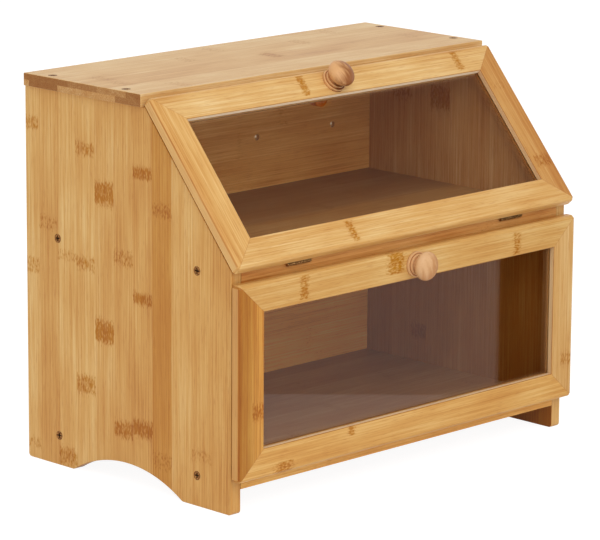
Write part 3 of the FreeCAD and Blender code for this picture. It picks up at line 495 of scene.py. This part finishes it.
def vent_walls(g, colour, spot, normal):
    """Painted shade on the vent walls near the face, painted light behind it and on the inside
    face.
    """
    colour = painted_light_inside(UPPER_BACK_LIGHT)(g, colour, spot, normal)
    wall = g.smooth(g.math("ABSOLUTE", g.dot(normal, Y)), 0.5, 0.2)
    depth = g.add(g.dot(spot, Y), reach("upper_back_panel", Vector(), -Y))
    level = g.smooth(g.math("ABSOLUTE", g.dot(normal, Z)), 0.55, 0.3)
    lit = g.times(level, g.smooth(depth, VENT_LIT, VENT_LIT + VENT_EASE))
    return g.mix(wall, colour, g.mix(lit, VENT_SHADE, VENT_LIGHT))


# Node marks of the top board, by distance along X and behind the side panels' back edges, and
# of the right side panel, by height and distance forward of its back edge.
TOP_MARKS = [
    (127, -20, 6, 11, 0.35), (73, -41, 6, 11, 0.4), (-6, -21, 6, 11, 0.35),
    (10, -72, 6, 11, 0.7), (-56, -41, 6, 11, 0.4), (164, -78, 6, 11, 0.3),
    (-137, -123, 6, 11, 0.35), (-164, -64, 6, 11, 0.45), (-167, -90, 6, 11, 0.4),
]
RIGHT_MARKS = [(258, 102, 9, 11, 0.95), (258, 59, 7, 11, 0.6), (55, 81, 6, 9, 0.8)]
# Each piece's multiplier on the common tone: partly its wood's own tone, partly painted
# light and shade, such as the painted shade on the shelf and the bottom board inside the box.
TONES_AND_SHADE = {
    "left_side_panel": (0.98, 0.98, 0.93, 1), "right_side_panel": (0.98, 1.04, 1.1, 1),
    "top_board": (0.95, 1.05, 1.3, 1), "middle_shelf": (0.47, 0.44, 0.48, 1),
    "bottom_board": (0.6, 0.56, 0.6, 1),
    "upper_top_rail": (1.02, 1.12, 1.3, 1), "upper_bottom_rail": (0.98, 1.02, 1.05, 1),
    "upper_left_stile": (1, 1.03, 1.05, 1), "upper_right_stile": (0.8, 0.68, 0.54, 1),
    "lower_top_rail": (0.88, 0.86, 0.77, 1), "lower_bottom_rail": (0.94, 0.88, 0.7, 1),
    "lower_left_stile": (0.75, 0.56, 0.27, 1), "lower_right_stile": (0.91, 0.92, 0.96, 1),
}
back_corner = Vector((0, BACK_EDGE, 0))
EVEN = 0.25                     # spread of the tone where strips differ little
dress(bamboo("left_side_bamboo", Z, -Y, back_corner, 2.0, first_seam=SIDE_FIRST_SEAM,
             spread=EVEN, marks=side_marks(), tone_and_shade=TONES_AND_SHADE["left_side_panel"],
             extra=darker_strip), "left_side_panel")
dress(bamboo("right_side_bamboo", Z, -Y, back_corner, 41.0, first_seam=5, spread=EVEN,
             marks=RIGHT_MARKS, tone_and_shade=TONES_AND_SHADE["right_side_panel"], extra=shaded_inside),
      "right_side_panel")
dress(bamboo("top_bamboo", X, Y, back_corner + BOARD_TOP * Z, 7.0, strip=33, spread=EVEN,
             marks=TOP_MARKS, tone_and_shade=TONES_AND_SHADE["top_board"]), "top_board")
dress(bamboo("shelf_bamboo", X, Y, SHELF_ORIGIN, 15.0, scatter=0.35,
             tone_and_shade=TONES_AND_SHADE["middle_shelf"], extra=painted_light_ahead), "middle_shelf")
dress(bamboo("bottom_bamboo", X, Y, Vector((100, 1, 0.5)) * MM, 23.0, scatter=0.3,
             tone_and_shade=TONES_AND_SHADE["bottom_board"], extra=lit_edges(BOTTOM_EDGE_LIGHT)), "bottom_board")
dress(bamboo("upper_back_bamboo", X, Z, Vector((20, 0, 3)) * MM, 31.0, strip=23, spread=EVEN,
             scatter=0.2, extra=vent_walls), "upper_back_panel")
dress(bamboo("lower_back_bamboo", X, Z, Vector((90, 0, 11)) * MM, 37.0, strip=23,
             spread=EVEN, scatter=0.2, extra=painted_light_inside(LOWER_BACK_LIGHT)),
      "lower_back_panel")


# ---------------------------------------------------------------- door frames
# Node marks of each frame member: distance along it from the door's middle or lower edge,
# distance across it, half length, half width and strength.
DOOR_MARKS = {
    "upper_top_rail": [(-33, 140, 3.5, 9, 0.8), (143, 140, 3.5, 9, 0.75)],
    "upper_bottom_rail": [(-62, 12, 3.5, 9, 0.8)],
    "upper_left_stile": [],
    "upper_right_stile": [(39, 176, 5, 9, 0.6), (112, 173, 3, 7, 0.3)],
    "lower_top_rail": [(-121, 140, 4, 9, 0.75), (118, 138, 4, 9, 0.7), (-22, 143, 8, 8, 0.85)],
    "lower_bottom_rail": [(-69, 19, 3.5, 4, 0.8), (-141, 4, 9, 5, 0.8)],
    "lower_left_stile": [(52, -168, 6, 7, 0.7)],
    "lower_right_stile": [(33, 181, 5, 7, 0.55)],
}
# Painted light and painted shade on the door frames, used in frame_extra below.
INNER_WALL_LIGHT = srgb(255, 236, 206)
SIDE_HIGHLIGHT = srgb(250, 212, 150)
ROUNDING_SHADE = srgb(206, 150, 92)
INNER_EDGE_SHADE = srgb(212, 190, 166)
SHADED_WALL = srgb(176, 152, 128)
STILE_WALL_LIGHT = 0.2
RAIL_WALL_LIGHT = {"upper": 0.85, "lower": 0.45}
MITRE_START, MITRE_FULL = 0.5 * MM, 0.1 * MM
# The painted light and shade of the inner walls fade in over this distance.
LIP_START, LIP_FULL = 1.2 * MM, 0.5 * MM    # the inner walls' tint, from the window's edge
OUTER_EDGE_TINT, PANE_SIDE_TINT = (0.86, 0.84, 0.66, 1), (1.2, 1.36, 1.6, 1)
CULM_LINES, CULM_LINE_TINT = (150, 1.6), srgb(196, 152, 96)
FRAME_STRIP, FRAME_FIRST_SEAM = 40, -27     # each frame member is a single strip wide


def door_axes(door):
    """The hinge line and the axes of a door: along the hinge, up the door, out of its face."""
    turn = Matrix.Rotation(-TILT if door == "upper" else 0.0, 3, "X")
    return HINGES[f"{door}_door"], turn @ Z, turn @ -Y


def frame_extra(up, out, pane_out, wall_light):
    """The mitre joints, a painted highlight on the sides, painted shade at their rounding and
    round the window, and painted light and shade on the inner walls.

    pane_out: how far out from the hinge line the pane's middle is.
    wall_light: how much painted light the rails' inner walls get in front of the pane.
    """
    def extra(g, colour, spot, normal):
        side = g.math("ABSOLUTE", g.dot(spot, X))
        height = g.dot(spot, up)
        from_side = g.times(g.minus(DOOR_WIDTH / 2, side), 1 / STILE)
        from_end = g.math("MINIMUM", height, g.minus(DOOR_HEIGHT, height))
        off = g.math("ABSOLUTE", g.minus(from_side, g.times(from_end, 1 / RAIL)))
        mitre = g.smooth(g.times(off, (STILE + RAIL) / 3), MITRE_START, MITRE_FULL)
        colour = g.mix(g.times(mitre, 0.25), colour, AMBER, "MULTIPLY")
        turned = g.math("ABSOLUTE", g.dot(normal, X))
        # Painted highlight on the door's side faces.
        colour = g.mix(g.times(g.smooth(turned, 0.9, 0.99), 0.22), colour, SIDE_HIGHLIGHT)
        # Painted shade along the rounding between a side and the face, near the outer edge.
        line = g.times(g.smooth(turned, 0.7, 0.85), g.smooth(turned, 0.98, 0.93))
        at_edge = g.smooth(side, DOOR_WIDTH / 2 - STILE / 2, DOOR_WIDTH / 2 - STILE / 3)
        colour = g.mix(g.times(g.times(line, at_edge), 0.45), colour, ROUNDING_SHADE, "MULTIPLY")
        facing = g.math("ABSOLUTE", g.dot(normal, out))
        in_wall = g.smooth(facing, 0.35, 0.2)
        window_side = DOOR_WIDTH / 2 - STILE
        near_x = g.smooth(side, window_side + LIP_START, window_side + LIP_FULL)
        near_z = g.smooth(from_end, RAIL - LIP_START, RAIL - LIP_FULL)
        inner = g.times(near_x, near_z)
        # Painted shade on the rounded edges round the window.
        eased = g.times(inner, g.times(g.smooth(facing, 0.98, 0.9), g.smooth(facing, 0.3, 0.4)))
        colour = g.mix(eased, colour, INNER_EDGE_SHADE, "MULTIPLY")
        # Painted light on the inner walls in front of the pane, painted shade on them behind it.
        wall = g.times(in_wall, inner)
        ahead = g.smooth(g.dot(spot, out), pane_out, pane_out + PANE_THICK / 2)
        pale = g.math("MULTIPLY_ADD", turned, STILE_WALL_LIGHT - wall_light, wall_light)
        colour = g.mix(g.times(wall, g.times(ahead, pale)), colour, INNER_WALL_LIGHT)
        behind = g.times(wall, g.minus(1.0, ahead))
        return g.mix(g.times(behind, 0.8), colour, SHADED_WALL, "MULTIPLY")
    return extra


def darker_outside(extra):
    """A stile whose face is browner towards its outer edge and paler towards the pane."""
    def changed(g, colour, spot, normal):
        from_side = g.minus(DOOR_WIDTH / 2, g.math("ABSOLUTE", g.dot(spot, X)))
        level = g.smooth(from_side, STILE * 0.35, STILE * 0.8)
        tint = g.mix(level, OUTER_EDGE_TINT, PANE_SIDE_TINT)
        lines = g.streaks([g.dot(spot, axis) for axis in (Z, X, Y)], CULM_LINES, 6.0, 1.5)
        tint = g.mix(g.times(g.smooth(lines, 0.52, 0.66), 0.4), tint, CULM_LINE_TINT, "MULTIPLY")
        on_face = g.smooth(g.math("ABSOLUTE", g.dot(normal, X)), 0.95, 0.8)
        return extra(g, g.mix(on_face, colour, tint, "MULTIPLY"), spot, normal)
    return changed


for number, door in enumerate(("upper", "lower")):
    line, up, out = door_axes(door)
    low, high = (Vector(corner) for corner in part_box(f"{door}_window_pane"))
    pane_out = ((low + high) / 2 - line).dot(out)
    extra = frame_extra(up, out, pane_out, RAIL_WALL_LIGHT[door])
    for step, piece in enumerate(("top_rail", "bottom_rail", "left_stile", "right_stile")):
        node = f"{door}_{piece}"
        along, across = (X, up) if "rail" in piece else (up, X)
        finish = darker_outside(extra) if node == "lower_left_stile" else extra
        dress(bamboo(f"{node}_bamboo", along, across, line, 51.0 + 8 * number + 2.3 * step,
                     strip=FRAME_STRIP, first_seam=FRAME_FIRST_SEAM,
                     marks=DOOR_MARKS[node], tone_and_shade=TONES_AND_SHADE[node], extra=finish), node)


# ---------------------------------------------------------------- knobs
# Height above the door and radius of the knob's flange, and of the step above it.
FLANGE, FLANGE_RADIUS = 2.2 * MM, 10 * MM
STEP, STEP_RADIUS = 4.2 * MM, 8.4 * MM
KNOB_DRIFT = (44.0, -26.0)      # how fast a knob darkens along the door and up it, per metre
KNOB_EDGE_HIGHLIGHT = srgb(246, 206, 150)
KNOB_CREASE_SHADE = srgb(192, 142, 92)
KNOB_PORE = srgb(176, 124, 80)
KNOB_IOR = 1.4
# Half widths of the painted highlight lines at the turned edges and of the painted shade in
# the creases below them.
HIGHLIGHT_HALF, CREASE_HALF, CREASE_REACH = 0.7 * MM, 0.5 * MM, 0.6 * MM
# Length and width of a knob's growth lines, fine lines and pores, in millimetres.
GROWTH, LINES, PORES = (26, 4.5), (22, 1.3), (2.5, 0.4)


def knob_material(name, base, up, out, seed, pale, dark):
    """Turned hardwood: growth lines along the door, painted highlights on its turned edges
    and painted shade in its creases.

    base: the middle of the knob's foot.  pale, dark: the wood between its growth lines and
    in them.
    """
    material, g, surface = new_material(name)
    spot, _ = g.coordinates(base)
    along = (up * 0.9 - X * 0.35 + out * 0.25).normalized()
    side = along.cross(out).normalized()
    grain = [g.dot(spot, axis) for axis in (along, side, along.cross(side))]
    growth = g.streaks(grain, GROWTH, seed, 1.0)
    lines = g.streaks(grain, LINES, seed + 4.1)
    pores = g.streaks(grain, PORES, seed + 8.2, 1.0)
    level = g.math("MULTIPLY_ADD", g.minus(lines, 0.5), 0.45, growth)
    for axis, drift in zip((X, up), KNOB_DRIFT):
        level = g.math("MULTIPLY_ADD", g.dot(spot, axis), drift, level)
    colour = g.mix(g.smooth(level, 0.1, 0.72), pale, dark)
    colour = g.mix(g.times(g.smooth(pores, 0.55, 0.7), 0.2), colour, KNOB_PORE)

    # Height above the door and distance from the knob's axis find the edges of the foot.
    height = g.dot(spot, out)
    aside, above = g.dot(spot, X), g.dot(spot, up)
    radius = g.math("SQRT", g.add(g.times(aside, aside), g.times(above, above)))

    def band(value, middle, half):
        return g.smooth(g.math("ABSOLUTE", g.minus(value, middle)), half, half * 0.4)

    creases = edges = 0.0
    for top, rim, lower in ((FLANGE, FLANGE_RADIUS, 0.0), (STEP, STEP_RADIUS, FLANGE)):
        edge = g.times(band(height, top, HIGHLIGHT_HALF), band(radius, rim, HIGHLIGHT_HALF))
        crease = g.times(band(height, lower, CREASE_HALF), band(radius, rim, CREASE_REACH))
        edges, creases = g.math("MAXIMUM", edges, edge), g.math("MAXIMUM", creases, crease)
    # Painted highlights on the turned edges and painted shade in the creases.
    colour = g.mix(g.times(edges, 0.7), colour, KNOB_EDGE_HIGHLIGHT)
    colour = g.mix(g.times(creases, 0.9), colour, KNOB_CREASE_SHADE, "MULTIPLY")
    roughness = g.math("MULTIPLY_ADD", lines, 0.15, 0.36)
    relief = g.bump(g.add(lines, g.times(pores, 0.5)), 0.05 * MM, 0.5)
    principled(g, surface, colour, roughness, relief, IOR=KNOB_IOR)
    return material


# Seed of each knob's grain, its wood between the growth lines and in them.
KNOB_LOOKS = {"upper": (3.0, srgb(220, 166, 110), srgb(148, 86, 34)),
              "lower": (14.0, srgb(220, 173, 124), srgb(196, 138, 84))}
for door, (seed, pale, dark) in KNOB_LOOKS.items():
    line, up, out = door_axes(door)
    middle = reach(f"{door}_top_rail", line, up) - RAIL / 2
    base = line + up * middle + out * reach(f"{door}_top_rail", line, out)
    dress(knob_material(f"{door}_knob_wood", base, up, out, seed, pale, dark), f"{door}_knob")


# ---------------------------------------------------------------- metal, plastic, acrylic
# Features per metre along X, Y and Z.
MOTTLE, SCRATCHES = (900, 900, 900), (250, 4000, 4000)
GRIT, PLASTIC_CLOUD, SMEAR = (2600, 2600, 2600), (160, 160, 160), (22, 22, 22)


def dark_metal(name, colour, worn, roughness, extra=None):
    """Bronzed steel, mottled, with brighter rubbed spots."""
    material, g, surface = new_material(name)
    spot, _ = g.coordinates()
    mottle = g.speckle(spot, MOTTLE, 3.0)
    scratch = g.speckle(spot, SCRATCHES, 1.0)
    tint = g.mix(g.smooth(mottle, 0.45, 0.75), colour, worn)
    tint = g.mix(g.times(g.smooth(scratch, 0.62, 0.75), 0.5), tint, worn)
    if extra:
        tint = extra(g, tint, spot)
    rough = g.math("MULTIPLY_ADD", mottle, 0.25, roughness)
    principled(g, surface, tint, rough, g.bump(scratch, 0.03 * MM, 0.4), Metallic=0.85)
    return material


RECESS_START = 0.15 * MM
RECESS_SHADE = srgb(40, 24, 12)


def painted_recess_shade(g, tint, spot):
    """Painted shade in the cross recesses in the heads of the box's screws."""
    side = reach("left_side_screws", Vector(), -X) - RECESS_START
    top = reach("top_board_screws", Vector(), Z) - RECESS_START
    aside = g.math("ABSOLUTE", g.dot(spot, X))
    head = g.math("MAXIMUM", g.smooth(aside, side - RECESS_START, side),
                  g.smooth(g.dot(spot, Z), top - RECESS_START, top))
    return g.mix(head, RECESS_SHADE, tint)


screw_metal = dark_metal("screw_metal", srgb(98, 58, 26), srgb(186, 132, 74), 0.45)
box_screw_metal = dark_metal("box_screw_metal", srgb(120, 74, 34), srgb(206, 150, 84), 0.4,
                             painted_recess_shade)
hinge_metal = dark_metal("hinge_metal", srgb(126, 88, 48), srgb(222, 180, 118), 0.35)
magnet_metal = dark_metal("magnet_metal", srgb(150, 150, 150), srgb(206, 206, 204), 0.2)
for node in frame["nodes"]:
    if node.endswith(("side_screws", "board_screws")):
        dress(box_screw_metal, node)
    elif "screw" in node:
        dress(screw_metal, node)
    elif "hinge" in node:
        dress(hinge_metal, node)
    elif "magnet" in node:
        dress(magnet_metal, node)


PLASTIC_DARK, PLASTIC_PALE = srgb(170, 86, 0), srgb(194, 102, 2)
PLASTIC_IOR = 1.2


def moulded_plastic():
    """Amber-brown plastic with a fine grit and slow changes of tone."""
    material, g, surface = new_material("catch_plastic")
    spot, _ = g.coordinates()
    grit = g.speckle(spot, GRIT)
    cloud = g.speckle(spot, PLASTIC_CLOUD)
    tint = g.mix(g.smooth(cloud, 0.3, 0.7), PLASTIC_DARK, PLASTIC_PALE)
    rough = g.math("MULTIPLY_ADD", grit, 0.2, 0.45)
    principled(g, surface, tint, rough, g.bump(grit, 0.03 * MM, 0.5), IOR=PLASTIC_IOR)
    return material


dress(moulded_plastic(), "upper_catch_body", "lower_catch_body")


ACRYLIC_IOR = 1.49
ACRYLIC_TINT = srgb(255, 252, 250)


def acrylic():
    """A clear sheet: light goes straight through, and its faces reflect."""
    material, g, surface = new_material("clear_acrylic")
    spot, _ = g.coordinates()
    smear = g.speckle(spot, SMEAR)
    through = g.node("BsdfTransparent")
    through.inputs["Color"].default_value = ACRYLIC_TINT
    gloss = g.node("BsdfGlossy")
    gloss.inputs["Color"].default_value = (1, 1, 1, 1)
    g.feed(gloss.inputs["Roughness"], g.math("MULTIPLY_ADD", smear, 0.012, 0.002))
    # Light goes straight through, so both faces mirror as a face met from the air does.
    fresnel = g.node("Fresnel")
    leaving = g.node("NewGeometry").outputs["Backfacing"]
    inverse = g.math("MULTIPLY_ADD", leaving, -2, 1)
    g.feed(fresnel.inputs["IOR"], g.math("POWER", ACRYLIC_IOR, inverse))
    g.blend(surface, fresnel.outputs[0], through, gloss)
    return material


dress(acrylic(), "upper_window_pane", "lower_window_pane")


# ---------------------------------------------------------------- floor, light and camera
def seen_ray(g):
    """1 for the rays that show something to the camera, straight or in gloss or glass."""
    path = g.node("LightPath")
    seen = g.add(path.outputs["Is Camera Ray"], path.outputs["Is Glossy Ray"])
    return g.math("ADD", seen, path.outputs["Is Transmission Ray"], clamp=True)


def card(name, corner, edge_a, edge_b, colour):
    """A card that only glossy surfaces see, which sets what the panes mirror."""
    mesh = bpy.data.meshes.new(name)
    mesh.from_pydata([corner, corner + edge_a, corner + edge_a + edge_b, corner + edge_b],
                     [], [(0, 1, 2, 3)])
    plane = bpy.data.objects.new(name, mesh)
    bpy.context.collection.objects.link(plane)
    material, g, surface = new_material(name)
    glow = g.node("Emission")
    glow.inputs["Color"].default_value = (*colour, 1)
    g.feed(surface, glow.outputs[0])
    mesh.materials.append(material)
    plane.visible_camera = plane.visible_diffuse = plane.visible_shadow = False
    plane.visible_transmission = False


FLOOR_SIZE = 12
FLOOR_GLOW, GLOW_STRENGTH = 0.74, 1.25
PAPER_TONES = (0.93, 0.93, 0.93, 1), (0.95, 0.95, 0.95, 1)
PAPER_CLOUD = (3, 3, 0)         # features per metre


def floor():
    """A white sheet that stays white to the camera and keeps a faint shadow of the box."""
    bpy.ops.mesh.primitive_plane_add(size=FLOOR_SIZE)
    plane = bpy.context.object
    plane.name = "studio_floor"
    material, g, surface = new_material("studio_floor")
    spot, _ = g.coordinates()
    colour = g.mix(g.speckle(spot, PAPER_CLOUD), *PAPER_TONES)
    paper = principled(g, surface, colour, 0.9, Specular_IOR_Level=0.0)
    glow = g.node("Emission")
    glow.inputs["Strength"].default_value = GLOW_STRENGTH
    g.blend(surface, g.times(seen_ray(g), FLOOR_GLOW), paper, glow)
    plane.data.materials.append(material)


KEY_PLACE, KEY_AIM = Vector((-0.45, -1.15, 1.25)), Vector((0, 0, 0.15))
KEY_WIDTH, KEY_POWER = 1.2, 8.5
SURROUND = 0.75


def key_lamp():
    """One large soft light in front of the box, above it and to its left."""
    light = bpy.data.lights.new("key", "AREA")
    light.shape = "SQUARE"
    light.size = KEY_WIDTH
    light.energy = KEY_POWER
    item = bpy.data.objects.new("key", light)
    bpy.context.collection.objects.link(item)
    item.location = KEY_PLACE
    item.rotation_euler = (KEY_AIM - KEY_PLACE).to_track_quat("-Z", "Y").to_euler()


def world(strength):
    """An even white surround, which the camera sees as plain white."""
    sky = bpy.data.worlds.new("studio")
    bpy.context.scene.world = sky
    sky.use_nodes = True
    backdrop = sky.node_tree.nodes["Background"]
    backdrop.inputs["Color"].default_value = (1, 1, 1, 1)
    g = Graph(sky.node_tree)
    g.feed(backdrop.inputs["Strength"], g.math("MAXIMUM", seen_ray(g), strength))


# The photo's camera, from the corners of the box: place in millimetres, angles in degrees.
CAMERA_PLACE = Vector((-1941.1, -1923.9, 760.3)) * MM
CAMERA_YAW = math.radians(45.046)
CAMERA_PITCH = math.radians(12.725)
CAMERA_ROLL = math.radians(0.382)
FOCAL_PIXELS, IMAGE_WIDTH = 3524.3, 600
SENSOR = 36.0


def camera():
    """The camera at the photo's viewing angle."""
    data = bpy.data.cameras.new("photo_camera")
    data.sensor_width = SENSOR
    data.lens = FOCAL_PIXELS * SENSOR / IMAGE_WIDTH
    item = bpy.data.objects.new("photo_camera", data)
    bpy.context.collection.objects.link(item)
    forward = Vector((math.sin(CAMERA_YAW) * math.cos(CAMERA_PITCH),
                      math.cos(CAMERA_YAW) * math.cos(CAMERA_PITCH), -math.sin(CAMERA_PITCH)))
    level = Vector((math.cos(CAMERA_YAW), -math.sin(CAMERA_YAW), 0))
    upright = level.cross(forward)
    right = level * math.cos(CAMERA_ROLL) + upright * math.sin(CAMERA_ROLL)
    top = upright * math.cos(CAMERA_ROLL) - level * math.sin(CAMERA_ROLL)
    axes = Matrix((right, top, -forward)).transposed().to_4x4()
    item.matrix_world = Matrix.Translation(CAMERA_PLACE) @ axes
    bpy.context.scene.camera = item


# Screens that the lower pane mirrors: their feet are in one line across the view, where the
# mirrored floor ends, and a warm sheet lies on that floor.
MIRROR_FOOT = Vector((0.0796, -0.3513, 0))
MIRROR_LINE = Vector((0.712, 0.703, 0))
GREY_START, BLACK_START, BLACK_END = -0.15, 0.198, 0.28
GREY_HEIGHT, BLACK_HEIGHT = 0.2, 0.25
SHEET_DEPTH, SHEET_LIFT = Vector((-0.17, 0.17, 0)), 0.5 * MM
GREY, BLACK, WARM, DIM = (0.44, 0.385, 0.37), (0, 0, 0), (0.74, 0.66, 0.65), (0.12, 0.12, 0.12)
# The flag that the upper pane mirrors: a corner and two edges.
FLAG = Vector((0.25, -0.55, 0.55)), Vector((0.55, 0.25, 0)), Vector((-0.25, 0.35, 0.45))
grey_foot = MIRROR_FOOT + MIRROR_LINE * GREY_START
black_foot = MIRROR_FOOT + MIRROR_LINE * BLACK_START

floor()
card("grey_screen", grey_foot, MIRROR_LINE * (BLACK_START - GREY_START), Z * GREY_HEIGHT, GREY)
card("black_screen", black_foot, MIRROR_LINE * (BLACK_END - BLACK_START), Z * BLACK_HEIGHT, BLACK)
card("floor_sheet", grey_foot + Z * SHEET_LIFT, MIRROR_LINE * (BLACK_END - GREY_START),
     SHEET_DEPTH, WARM)
card("upper_flag", *FLAG, DIM)
world(SURROUND)
key_lamp()
camera()
bpy.context.scene.view_settings.view_transform = "Standard"
